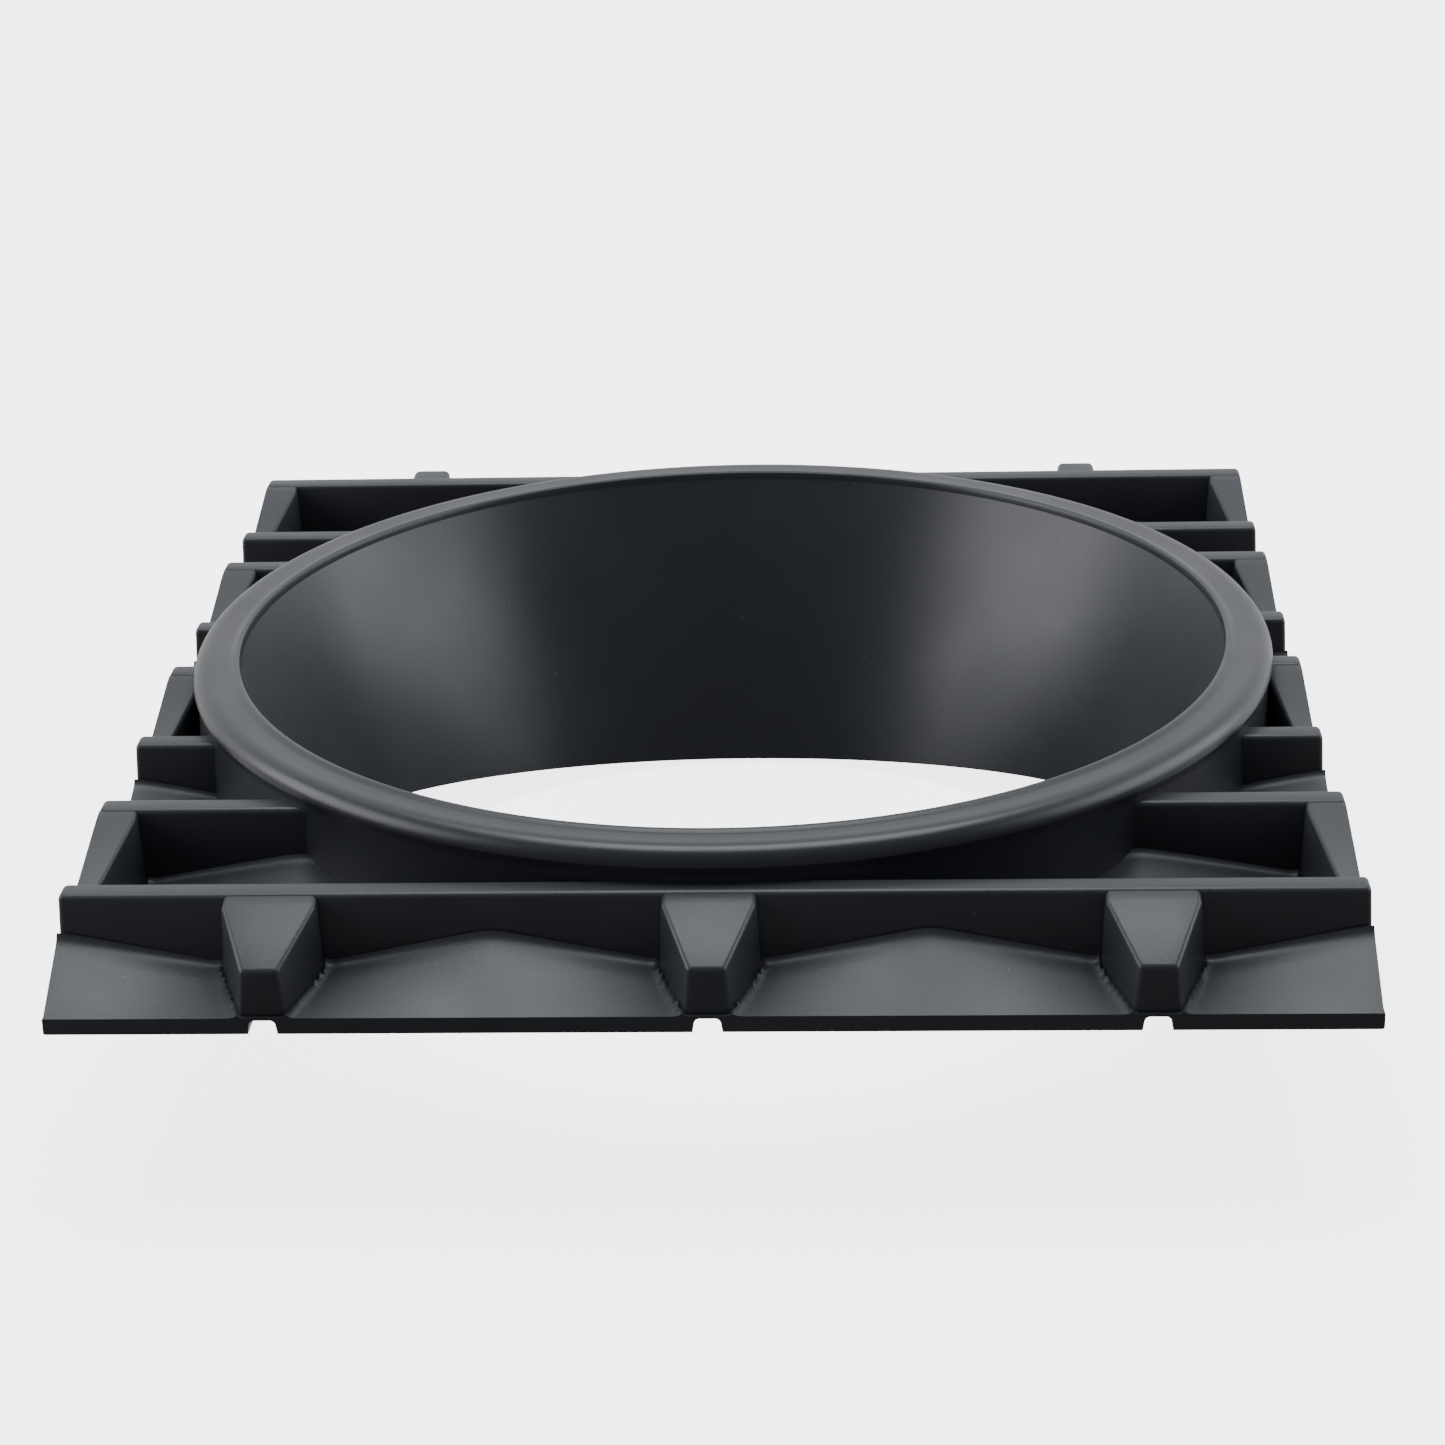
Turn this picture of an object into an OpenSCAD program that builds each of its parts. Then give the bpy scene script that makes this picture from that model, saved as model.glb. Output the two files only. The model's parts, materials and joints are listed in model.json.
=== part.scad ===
// Toilet flange: a rectangular plate with staggered rows of bonding ribs and a round collar.
// The collar is a rim on an upright skirt, with a funnel inside that is cut off at a slant.
// Millimetres. Origin: centre of the footprint and of the collar, at the level of the
// funnel's lowest point.
// +Z is up, -Y is the front edge of the plate.

/* [Plate] */
// Width of the plate, left to right
plate_w = 180; // [176:1:200]
// Thickness of the thin slab
slab_t = 2.5; // [1.5:0.5:4]
// Width of the notch under each front key, at the slab's underside
notch_w = 4.7; // [2:0.1:8]
// How far the notch reaches in from the front edge
notch_d = 6; // [3:1:12]

/* [Walls] */
// Thickness of each wall at its top
wall_t = 4; // [2:0.5:6]
// Draft of the walls: how much wider each one is at its foot
wall_draft = 0.8; // [0:0.1:1.5]
// Height of the lower walls (rows a) above the plate's underside
wall_a_h = 15; // [12:0.1:15.5]
// Height of the higher walls (rows b) above the plate's underside
wall_b_h = 15.8; // [15.5:0.1:17]
// Front edge of the plate to the back of the first wall
first_back = 16.5; // [15:0.5:18]
// Back of each a wall to the back of the b wall behind it
a_to_b = 27; // [24:0.5:29]
// First a wall to the second; rows close up by the next value towards the back
pair_pitch = 53; // [50:1:60]
// How much shorter each pitch is than the one in front of it
pitch_step = 4; // [0:0.5:5]

/* [Keys] */
// Width of a key where it leaves the wall
key_w = 12.8; // [8:0.2:18]
// Width of a key at its tip
key_tip_w = 5; // [3:0.2:7]
// Height of the tip above the plate's underside
key_tip_h = 9.3; // [5:0.1:9.5]
// Length of the straight stretch next to the wall
key_straight = 1.5; // [1:0.5:6]

/* [Floor humps] */
// Height of the hump in the a bays above the plate's underside
hump_a_h = 9; // [6:0.5:10]
// Height of the hump in the b bays above the plate's underside
hump_b_h = 8.3; // [6:0.1:10]
// Height of a hump above the slab where it meets a key's foot
hump_side = 1.8; // [0.4:0.1:2.4]

/* [Collar] */
// Inner radius of the mouth
mouth_r = 77.5; // [75:0.5:78]
// Outer radius of the rim
rim_r = 85; // [84.5:0.1:86]
// Height of the rim's top above the plate's underside
rim_top_h = 20.5; // [20:0.5:26]
// Thickness of the rim ring
rim_t = 3; // [2:0.5:4]
// Outer radius of the skirt, just under the rim
skirt_r = 84.2; // [83.5:0.1:84.5]
// Wall thickness of the skirt
skirt_t = 3; // [2:0.5:3]
// How much wider the skirt is at the plate's underside
skirt_draft = 1; // [0:0.1:1.2]

/* [Funnel] */
// Wall thickness of the funnel, measured level
funnel_t = 3.6; // [2:0.2:3.6]
// Slope of the funnel's wall, in degrees from upright
funnel_taper = 25; // [20:1:28]
// Slant of the funnel's lower end, in degrees, lowest at the back
cut_tilt = 14.4; // [8:0.2:16]
// How far the funnel reaches below the plate's underside
drop = 27.6; // [22:0.2:30]

/* [Back tabs] */
// Width of a tab
tab_w = 7.2; // [5:0.2:12]
// How far a tab reaches behind the last wall
tab_reach = 8.5; // [4:0.5:12]
// Height of a tab's top above the plate's underside
tab_h = 14.6; // [10:0.2:15.6]
// Radius of a tab's rear corners
tab_corner = 1.5; // [0.5:0.5:2.5]

/* [Hidden] */

round_fn = 72;
// Finer, because the skirt also trims the ribs, keys and floors.
skirt_fn = 288;
last_pair = 3;
plate_d = first_back + a_to_b + pair_shift(last_pair);
front_y = -(plate_d + tab_reach) / 2;
plate_top = drop + slab_t;
rim_top = drop + rim_top_h;
rim_under = rim_top - rim_t;
key_pitch = plate_w / 3;
notch_top_w = 0.72 * notch_w;
notch_h = 0.85 * slab_t;
cut_past = 1;
low_y = mouth_r + funnel_t - rim_under * tan(funnel_taper);

// Rows are counted from the front: 0 is a1, 1 is b1, 2 is a2 and so on. The collar takes up
// all the keys of rows a2 and a3 and the humps of row b2, so those have no nodes.
function is_b(row) = row % 2 == 1;
function pair_shift(pair) = pair * pair_pitch - pair * (pair - 1) / 2 * pitch_step;
function row_back(row) =
    front_y + first_back + pair_shift(floor(row / 2)) + (is_b(row) ? a_to_b : 0);
function row_front(row) = row_back(row) - wall_t;
function bay_front(row) = row == 0 ? front_y : row_back(row - 1);
function bay_depth(row) = row_front(row) - wall_draft - bay_front(row);
function wall_top(row) = drop + (is_b(row) ? wall_b_h : wall_a_h);
function key_places(row) =
    [for (i = [0 : is_b(row) ? 3 : 2]) -plate_w / 2 + (is_b(row) ? i : i + 0.5) * key_pitch];
function hump_places(row) = key_places(row + 1);
function hump_h(row) = (is_b(row) ? hump_b_h : hump_a_h) - slab_t;

// Whether a key or hump that reaches this far out along a row's wall comes out of the collar.
function clears_collar(row, far_x) =
    norm([far_x, row_front(row)]) > skirt_r + skirt_draft + 2 * cut_past;

// The plate's outline, as a block tall enough to trim anything that stands on it.
module plate_block() {
    translate([-plate_w / 2, front_y, 0])
        cube([plate_w, plate_d, rim_top]);
}

// Everything inside the skirt's outer surface, from this far below the plate up to the rim.
module skirt_body(below) {
    height = rim_under - drop;
    translate([0, 0, drop - below])
        cylinder(h = height + below, r1 = skirt_r + skirt_draft * (1 + below / height),
                 r2 = skirt_r, $fn = skirt_fn);
}

// The space that the plate and its ribs leave for the collar.
module collar_space() {
    skirt_body(cut_past);
}

// A cone that narrows downwards and has this radius at the rim's underside.
module funnel_cone(rim_radius, low, high) {
    translate([0, 0, low])
        cylinder(
            h = high - low,
            r1 = rim_radius + (low - rim_under) * tan(funnel_taper),
            r2 = rim_radius + (high - rim_under) * tan(funnel_taper),
            $fn = round_fn
        );
}

module base_slab() {
    color([0.15, 0.16, 0.18])
        difference() {
            translate([-plate_w / 2, front_y, drop])
                cube([plate_w, plate_d, slab_t]);
            for (x = key_places(0))
                translate([x, front_y + notch_d, drop])
                    rotate([90, 0, 0])
                        linear_extrude(2 * notch_d)
                            polygon([
                                [-notch_w / 2, -cut_past], [notch_w / 2, -cut_past],
                                [notch_w / 2, 0], [notch_top_w / 2, notch_h],
                                [-notch_top_w / 2, notch_h], [-notch_w / 2, 0]
                            ]);
            collar_space();
        }
}

// One wall across the plate, a little wider at its foot, interrupted by the collar.
module wall(row) {
    rise = wall_top(row) - plate_top;
    color([0.17, 0.18, 0.20])
        difference() {
            translate([-plate_w / 2, 0, plate_top])
                rotate([90, 0, 90])
                    linear_extrude(plate_w)
                        polygon([
                            [row_front(row) - wall_draft, 0], [row_back(row), 0],
                            [row_back(row), rise], [row_front(row), rise]
                        ]);
            collar_space();
        }
}

// One key: its plan narrows to the tip, and its top slopes down from the wall.
module key(row) {
    reach = bay_depth(row);
    rise = wall_top(row) - plate_top;
    tip_rise = key_tip_h - slab_t;
    intersection() {
        linear_extrude(rise)
            polygon([
                [-key_w / 2, 0], [-key_w / 2, -key_straight], [-key_tip_w / 2, -reach],
                [key_tip_w / 2, -reach], [key_w / 2, -key_straight], [key_w / 2, 0]
            ]);
        translate([-key_w, 0, 0])
            rotate([90, 0, 90])
                linear_extrude(2 * key_w)
                    polygon([[-reach, 0], [0, 0], [0, rise], [-reach, tip_rise]]);
    }
}

// The keys of one row, trimmed by the sides of the plate and by the collar.
module keys(row) {
    color([0.20, 0.21, 0.23])
        difference() {
            intersection() {
                for (x = key_places(row))
                    if (clears_collar(row, abs(x) + key_w / 2))
                        translate([x, row_front(row) - wall_draft, plate_top])
                            key(row);
                plate_block();
            }
            collar_space();
        }
}

// Half of a hump: highest at the wall in mid-bay, level with the slab along its front.
module half_hump(length, depth, rise) {
    polyhedron(
        points = [
            [0, 0, 0], [length, 0, 0], [length, depth, 0], [0, depth, 0],
            [length, depth, hump_side], [0, depth, rise]
        ],
        faces = [[0, 1, 2, 3], [0, 5, 1], [1, 5, 4], [1, 4, 2], [2, 4, 5, 3], [0, 3, 5]]
    );
}

// The humps on the floor of one row's bays.
module bay_floor(row) {
    length = (key_pitch - key_w) / 2;
    color([0.24, 0.25, 0.27])
        difference() {
            intersection() {
                for (x = hump_places(row))
                    if (clears_collar(row, abs(x) + length))
                        for (side = [0, 1])
                            translate([x, bay_front(row), plate_top])
                                mirror([side, 0, 0])
                                    half_hump(length, bay_depth(row), hump_h(row));
                plate_block();
            }
            collar_space();
        }
}

// The upright outer wall of the collar, from the plate's underside to the rim.
module collar_skirt() {
    color([0.15, 0.16, 0.18])
        difference() {
            skirt_body(0);
            translate([0, 0, drop - cut_past])
                cylinder(h = rim_under - drop + 2 * cut_past, r = skirt_r - skirt_t,
                         $fn = skirt_fn);
        }
}

// The inner wall, from the rim down through the plate, cut off along a slanted plane.
module collar_funnel() {
    color([0.13, 0.14, 0.16])
        difference() {
            funnel_cone(mouth_r + funnel_t, -2 * cut_past, rim_under);
            funnel_cone(mouth_r, -3 * cut_past, rim_under + cut_past);
            translate([0, low_y, 0])
                rotate([-cut_tilt, 0, 0])
                    translate([-plate_w, -2 * plate_w, -plate_w])
                        cube([2 * plate_w, 3 * plate_w, plate_w]);
        }
}

module collar_rim() {
    color([0.22, 0.23, 0.25])
        translate([0, 0, rim_under])
            difference() {
                cylinder(h = rim_t, r = rim_r, $fn = round_fn);
                translate([0, 0, -cut_past])
                    cylinder(h = rim_t + 2 * cut_past, r = mouth_r, $fn = round_fn);
            }
}

// Tabs behind the last wall, one in line with each a key, rounded at the rear corners.
module back_tabs() {
    back = front_y + plate_d;
    color([0.20, 0.21, 0.23])
        for (x = key_places(0))
            translate([x, back, drop])
                linear_extrude(tab_h)
                    union() {
                        translate([-tab_w / 2, 0])
                            square([tab_w, tab_reach - tab_corner]);
                        translate([-tab_w / 2 + tab_corner, 0])
                            square([tab_w - 2 * tab_corner, tab_reach]);
                        for (side = [-1, 1])
                            translate([side * (tab_w / 2 - tab_corner), tab_reach - tab_corner])
                                circle(r = tab_corner, $fn = 32);
                    }
}

base_slab();
wall(0);  // wall_a1
wall(1);  // wall_b1
wall(2);  // wall_a2
wall(3);  // wall_b2
wall(4);  // wall_a3
wall(5);  // wall_b3
wall(6);  // wall_a4
wall(7);  // wall_b4
keys(0);  // keys_a1
keys(1);  // keys_b1
keys(3);  // keys_b2
keys(5);  // keys_b3
keys(6);  // keys_a4
keys(7);  // keys_b4
bay_floor(0);  // floor_a1
bay_floor(1);  // floor_b1
bay_floor(2);  // floor_a2
bay_floor(4);  // floor_a3
bay_floor(5);  // floor_b3
bay_floor(6);  // floor_a4
bay_floor(7);  // floor_b4
collar_skirt();
collar_funnel();
collar_rim();
back_tabs();
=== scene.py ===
import json
import math

import bpy
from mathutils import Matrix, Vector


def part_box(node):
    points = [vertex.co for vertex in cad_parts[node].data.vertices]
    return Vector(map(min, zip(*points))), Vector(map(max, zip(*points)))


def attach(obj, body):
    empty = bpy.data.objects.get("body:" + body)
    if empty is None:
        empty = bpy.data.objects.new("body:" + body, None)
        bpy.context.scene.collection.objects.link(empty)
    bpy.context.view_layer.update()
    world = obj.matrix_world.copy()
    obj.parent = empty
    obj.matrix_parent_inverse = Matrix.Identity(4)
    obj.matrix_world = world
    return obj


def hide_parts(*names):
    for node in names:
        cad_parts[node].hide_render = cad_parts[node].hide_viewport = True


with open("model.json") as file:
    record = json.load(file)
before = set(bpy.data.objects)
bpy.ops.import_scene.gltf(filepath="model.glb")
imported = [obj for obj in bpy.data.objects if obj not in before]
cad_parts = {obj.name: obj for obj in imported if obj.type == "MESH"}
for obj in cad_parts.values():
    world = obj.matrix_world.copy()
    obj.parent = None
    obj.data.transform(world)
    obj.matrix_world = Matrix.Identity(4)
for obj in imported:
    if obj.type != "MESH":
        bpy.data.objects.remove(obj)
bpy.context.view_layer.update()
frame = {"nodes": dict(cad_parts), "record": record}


# ---------------------------------------------------------------- camera
# A long lens a little above the plate, looking in over the front edge from slightly right.
MM = 0.001
bpy.ops.object.camera_add(location=(23.5 * MM, -499.6 * MM, 238.2 * MM))
camera = bpy.context.object
camera.data.sensor_width = 36
camera.data.lens = 83.9
camera.data.clip_start = 0.01
camera.data.clip_end = 20
camera.rotation_euler = [math.radians(angle) for angle in (67.532, 1.488, 2.295)]
bpy.context.scene.camera = camera


# ---------------------------------------------------------------- collar skirt
# The upright outer wall of the collar, satin plastic, moulded in one with the plate. It is
# lofted ring by ring, and widens a little downwards with a small fillet at its foot.
slab_low, slab_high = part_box("base_slab")
skirt_low, skirt_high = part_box("collar_skirt")
rim_low, rim_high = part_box("collar_rim")
plate_top, rim_under, rim_top = slab_high[2], rim_low[2], rim_high[2]

mounts = {mount["name"]: mount for mount in frame["record"]["mounts"]}
mouth_r = mounts["mouth"]["dims"]["r_mm"] * MM
rim_r = mounts["rim_outside"]["dims"]["r_mm"] * MM
SKIRT_WALL, SKIRT_DRAFT = 3 * MM, 1 * MM
skirt_foot_r = skirt_high[0]
skirt_top_r = skirt_foot_r - SKIRT_DRAFT
INTO_RIM = 0.5 * MM     # how far the skirt and the funnel run up into the rim
FOOT_BURIED = 0.3 * MM  # how far what stands on the slab sinks into it
RING_SIDES = 160
SAME_POINT = 0.01 * MM


def select_only(piece):
    """Makes one object active and the only one selected."""
    if bpy.context.object and bpy.context.object.mode != "OBJECT":
        bpy.ops.object.mode_set(mode="OBJECT")
    bpy.ops.object.select_all(action="DESELECT")
    piece.select_set(True)
    bpy.context.view_layer.objects.active = piece


def loft_rings(name, rings, closed=True):
    """A solid lofted through circles of (radius, height): a ring if closed, else a plug."""
    bpy.ops.object.select_all(action="DESELECT")
    bpy.ops.mesh.primitive_circle_add(vertices=RING_SIDES, radius=rings[0][0],
                                      fill_type="NOTHING" if closed else "NGON")
    piece = bpy.context.object
    piece.name = piece.data.name = name
    bpy.ops.object.mode_set(mode="EDIT")
    bpy.ops.mesh.select_all(action="SELECT")
    radius, height = rings[0]
    bpy.ops.transform.translate(value=(0, 0, height))
    for next_radius, next_height in rings[1:] + (rings[:1] if closed else []):
        bpy.ops.mesh.extrude_region_move(
            TRANSFORM_OT_translate={"value": (0, 0, next_height - height)})
        growth = next_radius / radius
        bpy.ops.transform.resize(value=(growth, growth, 1), center_override=(0, 0, 0))
        radius, height = next_radius, next_height
    bpy.ops.mesh.select_all(action="SELECT")
    bpy.ops.mesh.remove_doubles(threshold=SAME_POINT)
    bpy.ops.mesh.normals_make_consistent(inside=False)
    bpy.ops.object.mode_set(mode="OBJECT")
    return piece


def smooth(piece, degrees=35):
    """Smooth shading that keeps real corners."""
    select_only(piece)
    bpy.ops.object.shade_smooth_by_angle(angle=math.radians(degrees))


skirt_inner_r = skirt_top_r - SKIRT_WALL
below_slab_r = skirt_foot_r - 0.8 * MM
fillet_r = skirt_foot_r + 1.2 * MM
skirt = loft_rings("collar_wall", [
    (skirt_inner_r, rim_under + INTO_RIM),
    (rim_r - 0.2 * MM, rim_under + INTO_RIM),
    (rim_r - 0.25 * MM, rim_under - 0.2 * MM),
    (skirt_top_r + 0.2 * MM, rim_under - 0.9 * MM),
    (skirt_top_r + 0.1 * MM, rim_under - 1.8 * MM),
    (skirt_foot_r - 0.2 * MM, plate_top + 1.8 * MM),
    (skirt_foot_r + 0.1 * MM, plate_top + 0.8 * MM),
    (skirt_foot_r + 0.5 * MM, plate_top + 0.25 * MM),
    (fillet_r, plate_top + 0.02 * MM),
    (fillet_r, plate_top - FOOT_BURIED),
    (below_slab_r, plate_top - FOOT_BURIED),
    (below_slab_r, skirt_low[2]),
    (skirt_inner_r, skirt_low[2]),
])
smooth(skirt, 40)


# The moulding's plastic: near-black with a trace of blue, a fine moulded grain, slow changes
# of gloss across the surface and a few faint dust marks.
def moulded_plastic(name, colour, gloss, grain_depth, mottling):
    """Near-black plastic. Lower gloss numbers are shinier."""
    material = bpy.data.materials.new(name)
    material.use_nodes = True
    nodes, links = material.node_tree.nodes, material.node_tree.links
    shader = nodes["Principled BSDF"]
    shader.inputs["IOR"].default_value = 1.5
    place = nodes.new("ShaderNodeTexCoord").outputs["Object"]

    def noise(scale, detail):
        made = nodes.new("ShaderNodeTexNoise")
        made.inputs["Scale"].default_value = scale
        made.inputs["Detail"].default_value = detail
        links.new(place, made.inputs["Vector"])
        return made.outputs["Fac"]

    def spread(value, low, high):
        made = nodes.new("ShaderNodeMapRange")
        made.inputs["From Min"].default_value = 0.3
        made.inputs["From Max"].default_value = 0.7
        made.inputs["To Min"].default_value = low
        made.inputs["To Max"].default_value = high
        links.new(value, made.inputs["Value"])
        return made.outputs["Result"]

    cloud = noise(38, 3)
    tint = nodes.new("ShaderNodeMix")
    tint.data_type = "RGBA"
    tint.inputs["A"].default_value = (*[c * (1 - mottling) for c in colour], 1)
    tint.inputs["B"].default_value = (*[c * (1 + mottling) for c in colour], 1)
    links.new(spread(cloud, 0, 1), tint.inputs["Factor"])

    dust = nodes.new("ShaderNodeTexVoronoi")
    dust.inputs["Scale"].default_value = 170
    links.new(place, dust.inputs["Vector"])
    speck = nodes.new("ShaderNodeMath")
    speck.operation = "LESS_THAN"
    speck.inputs[1].default_value = 0.035
    links.new(dust.outputs["Distance"], speck.inputs[0])
    dusty = nodes.new("ShaderNodeMix")
    dusty.data_type = "RGBA"
    dusty.inputs["B"].default_value = (*[min(1, c * 2.4) for c in colour], 1)
    links.new(speck.outputs["Value"], dusty.inputs["Factor"])
    links.new(tint.outputs["Result"], dusty.inputs["A"])
    links.new(dusty.outputs["Result"], shader.inputs["Base Color"])

    links.new(spread(noise(55, 4), gloss - 0.04, gloss + 0.04), shader.inputs["Roughness"])
    grain = nodes.new("ShaderNodeBump")
    grain.inputs["Strength"].default_value = grain_depth
    grain.inputs["Distance"].default_value = 0.05 * MM
    links.new(noise(2600, 2), grain.inputs["Height"])
    links.new(grain.outputs["Normal"], shader.inputs["Normal"])
    return material


collar_plastic = moulded_plastic("collar_plastic", (0.018, 0.020, 0.026), 0.34, 0.25, 0.10)
deck_plastic = moulded_plastic("deck_plastic", (0.022, 0.024, 0.030), 0.42, 0.45, 0.16)


def finish_piece(piece, material, slot_name, *nodes):
    """Gives a piece its plastic and lets it stand for its CAD nodes."""
    piece.data.materials.clear()
    piece.data.materials.append(material)
    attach(piece, "root")
    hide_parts(*nodes)


finish_piece(skirt, collar_plastic, "collar", "collar_skirt")


# ---------------------------------------------------------------- rim
# The ring round the mouth, moulded in one with the skirt: a fine bead along its inner edge
# that catches the light, a flat band, and a soft shoulder outside.
SHOULDER = 2.6 * MM
SHOULDER_STEPS = 8
BEAD_PROUD = 0.3 * MM
band_top = rim_top - BEAD_PROUD
shoulder_r = rim_r - SHOULDER
rim_rings = [
    (mouth_r, rim_under),
    (mouth_r, rim_top - 0.7 * MM),
    (mouth_r + 0.2 * MM, rim_top - 0.2 * MM),
    (mouth_r + 0.65 * MM, rim_top),
    (mouth_r + 1.1 * MM, rim_top - 0.1 * MM),
    (mouth_r + 1.5 * MM, rim_top - 0.35 * MM),
    (mouth_r + 2.1 * MM, rim_top - 0.42 * MM),
    (shoulder_r - 0.6 * MM, band_top),
]
for step in range(SHOULDER_STEPS + 1):
    turn = math.pi / 2 * step / SHOULDER_STEPS
    rim_rings.append((shoulder_r + SHOULDER * math.sin(turn),
                      band_top - SHOULDER * (1 - math.cos(turn))))
rim_rings.append((rim_r, rim_under))
rim_ring = loft_rings("rim_ring", rim_rings)
smooth(rim_ring, 40)
finish_piece(rim_ring, collar_plastic, "collar", "collar_rim")


# ---------------------------------------------------------------- funnel
# The inner wall: a plain cone, satin plastic, from just under the bead down through the plate.
# Its lower end is cut off along a slanted plane, lowest at the back, with its edges eased.
FUNNEL_WALL = 3.6 * MM
TAPER = math.tan(math.radians(25))
SLANT = math.tan(math.radians(14.4))
MOUTH_STRAIGHT = 1.3 * MM
BEHIND_BEAD = 1 * MM    # how far the inner face carries on up inside the rim
FUNNEL_STEPS = 12

wall_start = rim_top - MOUTH_STRAIGHT
wall_end = -4 * MM
end_r = mouth_r - (rim_under - wall_end) * TAPER
run = (mouth_r - end_r) / (wall_start - wall_end)


def cone_rings(bottom_r, top_r, top_z):
    """Even rings down one face of the cone, from its top to the end that is cut off."""
    shares = [1 - step / FUNNEL_STEPS for step in range(FUNNEL_STEPS + 1)]
    return [(bottom_r + (top_r - bottom_r) * share, wall_end + (top_z - wall_end) * share)
            for share in shares]


inside = cone_rings(end_r, mouth_r + run * BEHIND_BEAD, wall_start + BEHIND_BEAD)
outside = cone_rings(end_r + FUNNEL_WALL, mouth_r + FUNNEL_WALL, rim_under + INTO_RIM)
funnel = loft_rings("funnel_wall", outside + inside[::-1])


def add_block(name, low, high):
    """A box between two corners, with its place in its mesh."""
    bpy.ops.object.select_all(action="DESELECT")
    bpy.ops.mesh.primitive_cube_add(size=1, location=(0, 0, 0))
    piece = bpy.context.object
    piece.name = piece.data.name = name
    bpy.ops.object.mode_set(mode="EDIT")
    bpy.ops.mesh.select_all(action="SELECT")
    bpy.ops.transform.resize(value=[b - a for a, b in zip(low, high)],
                             center_override=(0, 0, 0))
    bpy.ops.transform.translate(value=[(a + b) / 2 for a, b in zip(low, high)])
    bpy.ops.object.mode_set(mode="OBJECT")
    return piece


def apply_modifier(piece, kind, **settings):
    """Adds one modifier and applies it."""
    select_only(piece)
    modifier = piece.modifiers.new(kind.lower(), kind)
    for key, value in settings.items():
        setattr(modifier, key, value)
    bpy.ops.object.modifier_apply(modifier=modifier.name)


def round_edges(piece, width, segments=3, sharper_than=28):
    """Rounds every edge that turns by more than this many degrees."""
    apply_modifier(piece, "BEVEL", width=width, segments=segments, limit_method="ANGLE",
                   angle_limit=math.radians(sharper_than))


def cut_away(piece, cutter):
    """Takes the cutter's shape out of the piece."""
    apply_modifier(piece, "BOOLEAN", operation="DIFFERENCE", solver="EXACT", object=cutter)


CUTTER_REACH, CUTTER_DEEP = 200 * MM, 100 * MM
lowest_y = mouth_r + FUNNEL_WALL - rim_under * TAPER
below_slant = add_block("below_slant", (-CUTTER_REACH, -CUTTER_REACH, -CUTTER_DEEP),
                        (CUTTER_REACH, CUTTER_REACH, 0))
for corner in below_slant.data.vertices:
    if corner.co.z > -CUTTER_DEEP / 2:
        corner.co.z = (lowest_y - corner.co.y) * SLANT
cut_away(funnel, below_slant)
bpy.data.objects.remove(below_slant)
round_edges(funnel, 0.4 * MM, segments=2, sharper_than=45)
smooth(funnel, 30)
apply_modifier(funnel, "WEIGHTED_NORMAL", keep_sharp=True, weight=100)
finish_piece(funnel, collar_plastic, "collar", "collar_funnel")


# ---------------------------------------------------------------- base slab
# The thin plate under everything. It is a flat block with eased edges, notched under each
# front key and cut away where the collar passes through.
plate_half = slab_high[0]
front_y = slab_low[1]

# The space that the plate and its ribs leave for the collar. It lies just under the skirt's
# outer skin, so that each rib runs a little way into it.
BURIED = 0.7 * MM
collar_space = loft_rings("collar_space", [
    (skirt_foot_r - BURIED, slab_low[2] - 1 * MM),
    (skirt_top_r - BURIED, rim_under),
], closed=False)
select_only(collar_space)
bpy.ops.object.mode_set(mode="EDIT")
bpy.ops.mesh.select_all(action="SELECT")
bpy.ops.mesh.fill_holes(sides=0)
bpy.ops.mesh.normals_make_consistent(inside=False)
bpy.ops.object.mode_set(mode="OBJECT")

key_pitch = 2 * plate_half / 3
a_key_places = [-key_pitch, 0, key_pitch]
b_key_places = [-1.5 * key_pitch, -0.5 * key_pitch, 0.5 * key_pitch, 1.5 * key_pitch]

NOTCH_FOOT, NOTCH_TOP = 4.7 * MM, 3.4 * MM
NOTCH_DEEP, NOTCH_HIGH = 6 * MM, 2.15 * MM
PAST_FACE = 2 * MM
plate_slab = add_block("plate_slab", slab_low, slab_high)
round_edges(plate_slab, 0.35 * MM)
for place in a_key_places:
    notch = add_block(
        "notch",
        (place - NOTCH_FOOT / 2, front_y - NOTCH_DEEP, slab_low[2] - PAST_FACE),
        (place + NOTCH_FOOT / 2, front_y + NOTCH_DEEP, slab_low[2] + NOTCH_HIGH),
    )
    for corner in notch.data.vertices:
        if corner.co.z > slab_low[2]:
            corner.co.x = place + (corner.co.x - place) * NOTCH_TOP / NOTCH_FOOT
    round_edges(notch, 0.6 * MM)
    cut_away(plate_slab, notch)
    bpy.data.objects.remove(notch)
cut_away(plate_slab, collar_space)
smooth(plate_slab)
finish_piece(plate_slab, deck_plastic, "moulding", "base_slab")


# ---------------------------------------------------------------- walls
# Eight upright walls across the plate, in pairs: a lower one, then a higher one. Each leans
# a little with the mould's draft, has soft edges on top, and stops at the collar.
ROWS = ["a1", "b1", "a2", "b2", "a3", "b3", "a4", "b4"]
END_INSET, END_DRAFT, FRONT_DRAFT = 0.2 * MM, 0.5 * MM, 0.8 * MM

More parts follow.
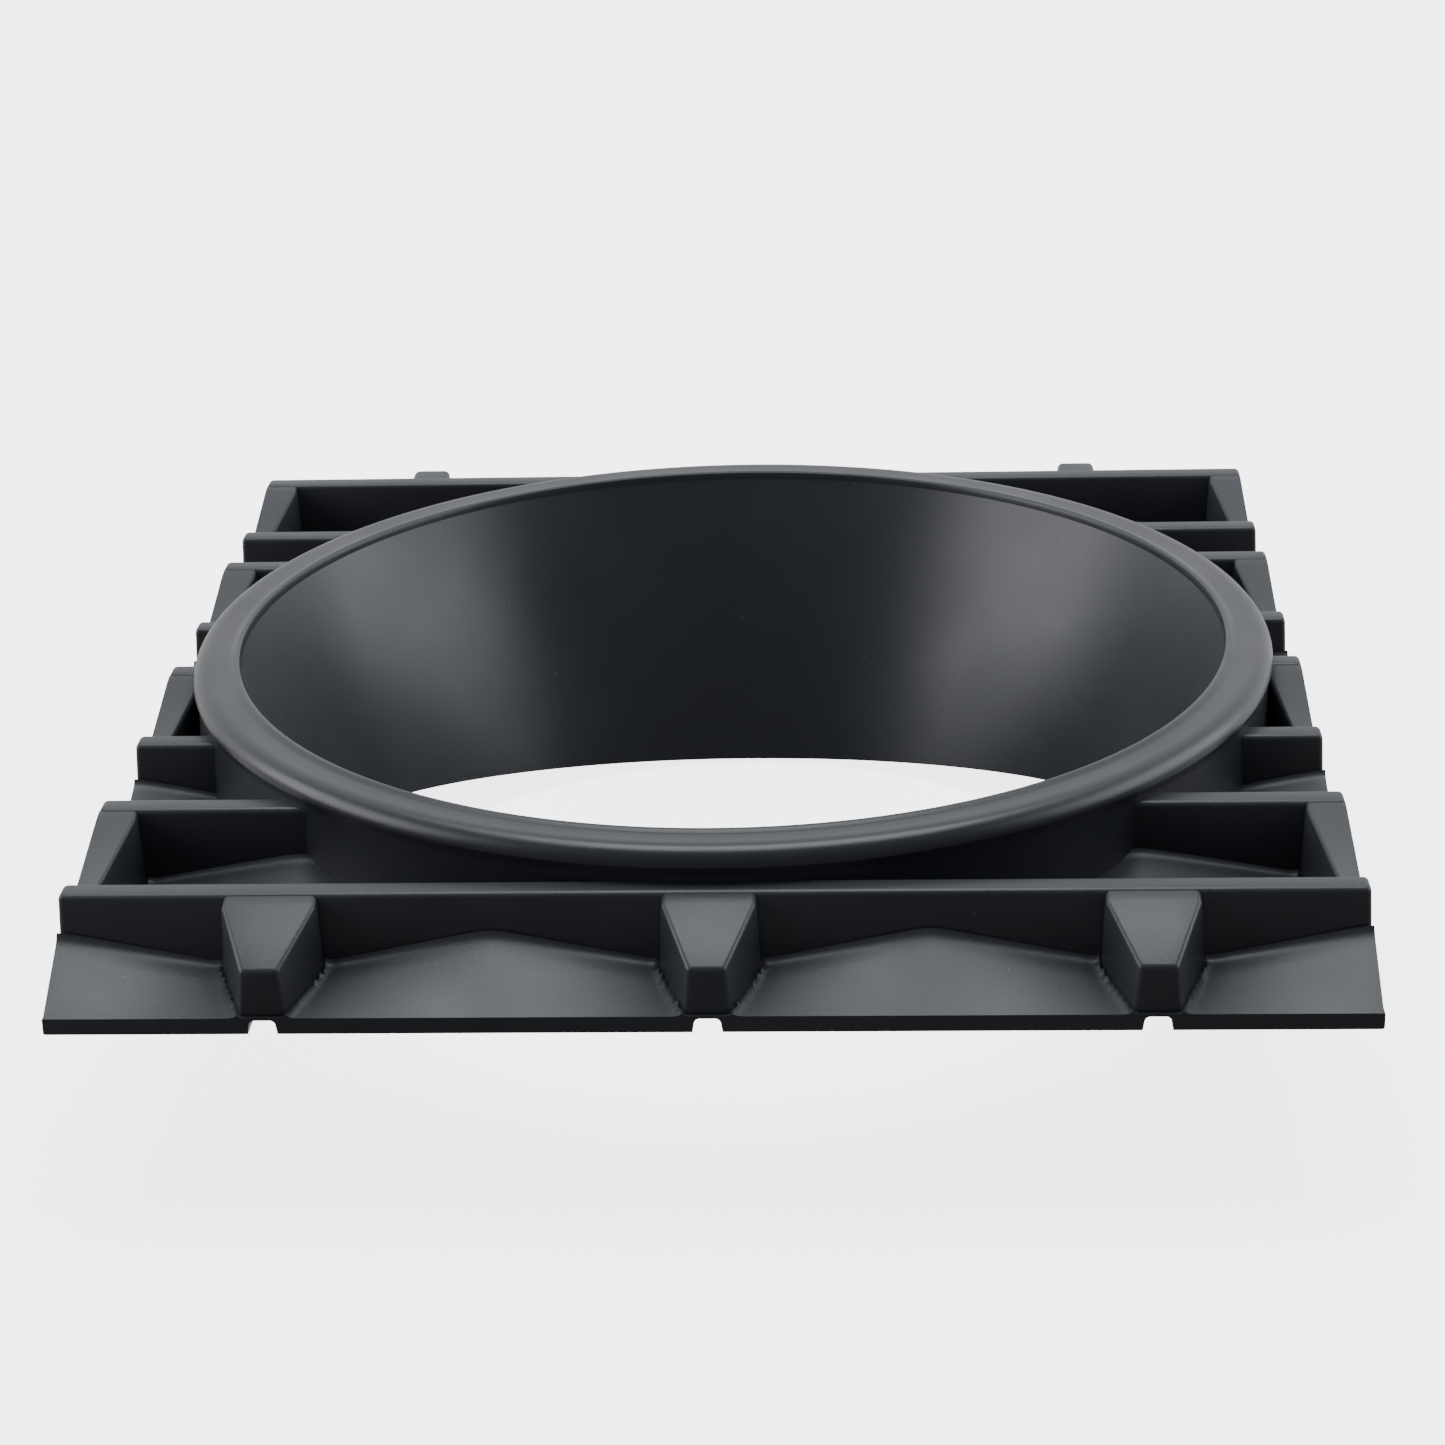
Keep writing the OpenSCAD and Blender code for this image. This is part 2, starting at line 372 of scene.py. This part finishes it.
for row in ROWS:
    wall_low, wall_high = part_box("wall_" + row)
    ridge = add_block("ridge_" + row,
                      (wall_low[0] + END_INSET, wall_low[1], wall_low[2] - FOOT_BURIED),
                      (wall_high[0] - END_INSET, wall_high[1], wall_high[2]))
    for corner in ridge.data.vertices:
        if corner.co.z > plate_top:
            corner.co.x -= math.copysign(END_DRAFT, corner.co.x)
            if corner.co.y < (wall_low[1] + wall_high[1]) / 2:
                corner.co.y += FRONT_DRAFT
    round_edges(ridge, 0.75 * MM, segments=4)
    cut_away(ridge, collar_space)
    smooth(ridge)
    finish_piece(ridge, deck_plastic, "moulding", "wall_" + row)


# ---------------------------------------------------------------- keys
# Wedge-shaped keys that reach forward from each wall to bond with the bed. Each starts the
# width of its foot at the wall, then narrows and slopes down to a small blunt tip.
KEY_WIDTH, TIP_WIDTH = 12.8 * MM, 5.0 * MM
KEY_STRAIGHT = 1.5 * MM
TIP_HEIGHT = 9.3 * MM - (slab_high[2] - slab_low[2])
FOOT_FLARE = 0.6 * MM
KEY_ROOT, KEY_DEEP = 0.4 * MM, 1 * MM  # where the slope starts in the wall, and its back end
BELOW_RIDGE = 0.15 * MM
FRONT_MARGIN = 0.5 * MM  # between the first keys' tips and the front edge
CLEAR_BY = 1.5 * MM      # a key has to reach this far out of the collar
row_places = {"a": a_key_places, "b": b_key_places}


def bay_front(row):
    """Where the bay in front of a row's wall begins."""
    if row == ROWS[0]:
        return front_y
    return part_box("wall_" + ROWS[ROWS.index(row) - 1])[1][1]


def clears_collar(row, far_x):
    """Whether something that reaches this far out along a row comes out of the collar."""
    return math.hypot(far_x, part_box("wall_" + row)[0][1]) > skirt_foot_r + CLEAR_BY


def add_key(name, place, root_y, tip_y, top_z):
    """One key, from its root just inside the wall to its tip."""
    straight_y = root_y - KEY_STRAIGHT
    piece = add_block(name, (place - KEY_WIDTH / 2, straight_y, plate_top - FOOT_BURIED),
                      (place + KEY_WIDTH / 2, root_y + KEY_DEEP, top_z))
    select_only(piece)
    bpy.ops.object.mode_set(mode="EDIT")
    bpy.ops.mesh.select_mode(type="FACE")
    bpy.ops.mesh.select_all(action="DESELECT")
    bpy.ops.object.mode_set(mode="OBJECT")
    for face in piece.data.polygons:
        face.select = face.normal.y < -0.9
    bpy.ops.object.mode_set(mode="EDIT")
    bpy.ops.mesh.extrude_region_move(
        TRANSFORM_OT_translate={"value": (0, tip_y - straight_y, 0)})
    bpy.ops.transform.resize(value=(TIP_WIDTH / KEY_WIDTH, 1, 1),
                             center_override=(place, tip_y, top_z))
    bpy.ops.object.mode_set(mode="OBJECT")
    fall = (top_z - plate_top - TIP_HEIGHT) / (root_y - tip_y)
    for corner in piece.data.vertices:
        if corner.co.z > plate_top:
            corner.co.z -= fall * max(0, root_y - corner.co.y)
        else:
            corner.co.x += math.copysign(FOOT_FLARE, corner.co.x - place)
    round_edges(piece, 0.6 * MM)
    return piece


TRIM_INSET, TRIM_LEAN = 0.35 * MM, 0.035


def trim_sides(piece):
    """Cuts a piece off flush with the left and right sides of the plate."""
    for side in (-1, 1):
        select_only(piece)
        bpy.ops.object.mode_set(mode="EDIT")
        bpy.ops.mesh.select_all(action="SELECT")
        bpy.ops.mesh.bisect(plane_co=(side * (plate_half - TRIM_INSET), 0, plate_top),
                            plane_no=(side, 0, TRIM_LEAN), use_fill=True, clear_outer=True)
        bpy.ops.object.mode_set(mode="OBJECT")


def join(pieces, name):
    """Joins several pieces into one named piece."""
    bpy.ops.object.select_all(action="DESELECT")
    for piece in pieces:
        piece.select_set(True)
    bpy.context.view_layer.objects.active = pieces[0]
    bpy.ops.object.join()
    pieces[0].name = pieces[0].data.name = name
    return pieces[0]


key_rows = [row for row in ROWS if "keys_" + row in frame["nodes"]]
for row in key_rows:
    wall_low, wall_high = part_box("wall_" + row)
    reach_to = bay_front(row) + (FRONT_MARGIN if row == ROWS[0] else 0)
    made = [
        add_key("key", place, wall_low[1] + KEY_ROOT, reach_to, wall_high[2] - BELOW_RIDGE)
        for place in row_places[row[0]]
        if clears_collar(row, abs(place) + KEY_WIDTH / 2)
    ]
    key_row = join(made, "key_row_" + row)
    if row[0] == "b":
        trim_sides(key_row)
    cut_away(key_row, collar_space)
    smooth(key_row)
    finish_piece(key_row, deck_plastic, "moulding", "keys_" + row)


# ---------------------------------------------------------------- bay floors
# The floor between the keys swells into a shallow hump against each wall, highest half way
# between two keys and level with the slab along its front, with a small fillet at every foot.
FILLET, FILLET_REACH = 0.7 * MM, 0.45 * MM
HUMP_ABOVE_UNDERSIDE = {"a": 9.0 * MM, "b": 8.3 * MM}
HUMP_SIDE, HUMP_ROUND = 1.8 * MM, 1.6 * MM
SIDE_INSET = 0.25 * MM
WALL_OVERLAP = 0.1 * MM
FLOOR_DEEP = 12 * MM
COLUMNS, FLOOR_ROWS, CLOSER_AT_WALL = 360, 26, 1.8
half_bay = (key_pitch - KEY_WIDTH) / 2


def key_half_width(into_bay, depth):
    """Half of a key's width at its foot, this far in front of the wall."""
    narrowing = max(0, into_bay - KEY_STRAIGHT) / (depth - KEY_STRAIGHT)
    return FOOT_FLARE + (KEY_WIDTH - (KEY_WIDTH - TIP_WIDTH) * narrowing) / 2


def floor_height(x, forward, depth, rise, apexes, keys):
    """How far the floor stands above the slab. forward is the distance in front of the wall."""
    off = min(abs(x - apex) for apex in apexes)
    drop = math.hypot(min(off, half_bay), HUMP_ROUND) - HUMP_ROUND
    crest = 1 - drop / (math.hypot(half_bay, HUMP_ROUND) - HUMP_ROUND)
    height = (HUMP_SIDE + (rise - HUMP_SIDE) * crest) * (1 - forward / depth)
    beside_key = min(abs(x - key) for key in keys) - key_half_width(forward, depth)
    if beside_key > 0:
        height += FILLET * math.exp(-beside_key / FILLET_REACH)
    return height + FILLET * math.exp(-forward / FILLET_REACH)


floor_rows = [row for row in ROWS if "floor_" + row in frame["nodes"]]
for row in floor_rows:
    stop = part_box("wall_" + row)[0][1] + WALL_OVERLAP
    depth = stop - bay_front(row)
    own_keys = row_places[row[0]]
    apexes = row_places["b" if row[0] == "a" else "a"]
    rise = HUMP_ABOVE_UNDERSIDE[row[0]] - (slab_high[2] - slab_low[2])
    half = plate_half - SIDE_INSET
    bpy.ops.object.select_all(action="DESELECT")
    bpy.ops.mesh.primitive_grid_add(x_subdivisions=COLUMNS, y_subdivisions=FLOOR_ROWS, size=2)
    bay_floor = bpy.context.object
    bay_floor.name = bay_floor.data.name = "bay_floor_" + row
    for point in bay_floor.data.vertices:
        along = (point.co.y + 1) / 2
        forward = depth * (1 - along) ** CLOSER_AT_WALL
        x = point.co.x * half
        height = floor_height(x, forward, depth, rise, apexes, own_keys)
        point.co = (x, stop - forward, plate_top + height)
    select_only(bay_floor)
    bpy.ops.object.mode_set(mode="EDIT")
    bpy.ops.mesh.select_all(action="SELECT")
    bpy.ops.mesh.extrude_region_move(TRANSFORM_OT_translate={"value": (0, 0, -FLOOR_DEEP)})
    bpy.ops.mesh.select_all(action="SELECT")
    bpy.ops.mesh.normals_make_consistent(inside=False)
    bpy.ops.mesh.bisect(plane_co=(0, 0, plate_top - FOOT_BURIED), plane_no=(0, 0, -1),
                        use_fill=True, clear_outer=True)
    bpy.ops.object.mode_set(mode="OBJECT")
    cut_away(bay_floor, collar_space)
    smooth(bay_floor, 50)
    finish_piece(bay_floor, deck_plastic, "moulding", "floor_" + row)


# ---------------------------------------------------------------- back tabs
# Three small tabs behind the last wall, in line with the a keys, with rounded rear corners.
tab_low, tab_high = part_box("back_tabs")
TAB_ROOT, TAB_SIDE_DRAFT, TAB_BACK_DRAFT = 1 * MM, 0.3 * MM, 0.4 * MM
tab_half_width = tab_high[0] - key_pitch
tabs = []
for place in a_key_places:
    tab = add_block("tab", (place - tab_half_width, tab_low[1] - TAB_ROOT, tab_low[2]),
                    (place + tab_half_width, tab_high[1], tab_high[2]))
    for corner in tab.data.vertices:
        if corner.co.z > plate_top:
            corner.co.x -= math.copysign(TAB_SIDE_DRAFT, corner.co.x - place)
            if corner.co.y > tab_low[1]:
                corner.co.y -= TAB_BACK_DRAFT
    round_edges(tab, 1.0 * MM, segments=4)
    tabs.append(tab)
back_tabs = join(tabs, "tab_row")
smooth(back_tabs)
finish_piece(back_tabs, deck_plastic, "moulding", "back_tabs")

bpy.data.objects.remove(collar_space)


# ---------------------------------------------------------------- studio
# A plain pale floor that glows for the camera but casts nothing back on the part, a soft
# surround that is darker on the camera's side, two side panels and one overhead.
bpy.ops.object.select_all(action="DESELECT")
bpy.ops.mesh.primitive_plane_add(size=12, location=(0, 0, 0))
floor = bpy.context.object
floor.name = "studio_floor"
floor_paint = bpy.data.materials.new("floor_paint")
floor_paint.use_nodes = True
paint = floor_paint.node_tree.nodes["Principled BSDF"].inputs
paint["Base Color"].default_value = (0.92, 0.92, 0.92, 1)
paint["Roughness"].default_value = 0.9
paint["Emission Color"].default_value = (1, 1, 1, 1)
paint["Emission Strength"].default_value = 3.5
floor.data.materials.append(floor_paint)
floor.visible_glossy = False
floor.visible_diffuse = False

world = bpy.data.worlds.new("studio")
bpy.context.scene.world = world
world.use_nodes = True
sky, sky_links = world.node_tree.nodes, world.node_tree.links
direction = sky.new("ShaderNodeTexCoord")
parts = sky.new("ShaderNodeSeparateXYZ")
sky_links.new(direction.outputs["Generated"], parts.inputs["Vector"])


def fade(value, start, stop, low, high):
    """A soft change in the room's brightness along one direction."""
    made = sky.new("ShaderNodeMapRange")
    made.interpolation_type = "SMOOTHSTEP"
    made.inputs["From Min"].default_value = start
    made.inputs["From Max"].default_value = stop
    made.inputs["To Min"].default_value = low
    made.inputs["To Max"].default_value = high
    sky_links.new(value, made.inputs["Value"])
    return made.outputs["Result"]


room = sky.new("ShaderNodeMath")
room.operation = "MULTIPLY"
sky_links.new(fade(parts.outputs["Y"], -0.1, 0.6, 0.2, 1.2), room.inputs[0])
sky_links.new(fade(parts.outputs["Z"], 0.5, 0.9, 1.0, 0.8), room.inputs[1])
sky_links.new(room.outputs["Value"], sky["Background"].inputs["Strength"])
sky["Background"].inputs["Color"].default_value = (0.97, 0.985, 1.0, 1)


def softbox(name, turn, lift, away, width, height, power, tint):
    """A soft panel aimed at the part. turn is measured from the front, to the right."""
    turn, lift = math.radians(turn), math.radians(lift)
    place = (away * math.sin(turn) * math.cos(lift), -away * math.cos(turn) * math.cos(lift),
             away * math.sin(lift))
    bpy.ops.object.light_add(type="AREA", location=place)
    panel = bpy.context.object
    panel.name = name
    panel.rotation_euler = (math.pi / 2 - lift, 0, turn)
    panel.data.shape = "RECTANGLE"
    panel.data.size, panel.data.size_y = width, height
    panel.data.energy = power
    panel.data.color = tint


softbox("right_panel", 96, 22, 1.5, 1.3, 0.9, 12, (0.94, 0.97, 1.0))
softbox("left_panel", -84, 22, 1.5, 1.3, 0.9, 15, (0.94, 0.95, 1.0))
softbox("top_panel", 180, 84, 1.6, 1.4, 0.9, 22, (0.92, 0.98, 1.0))
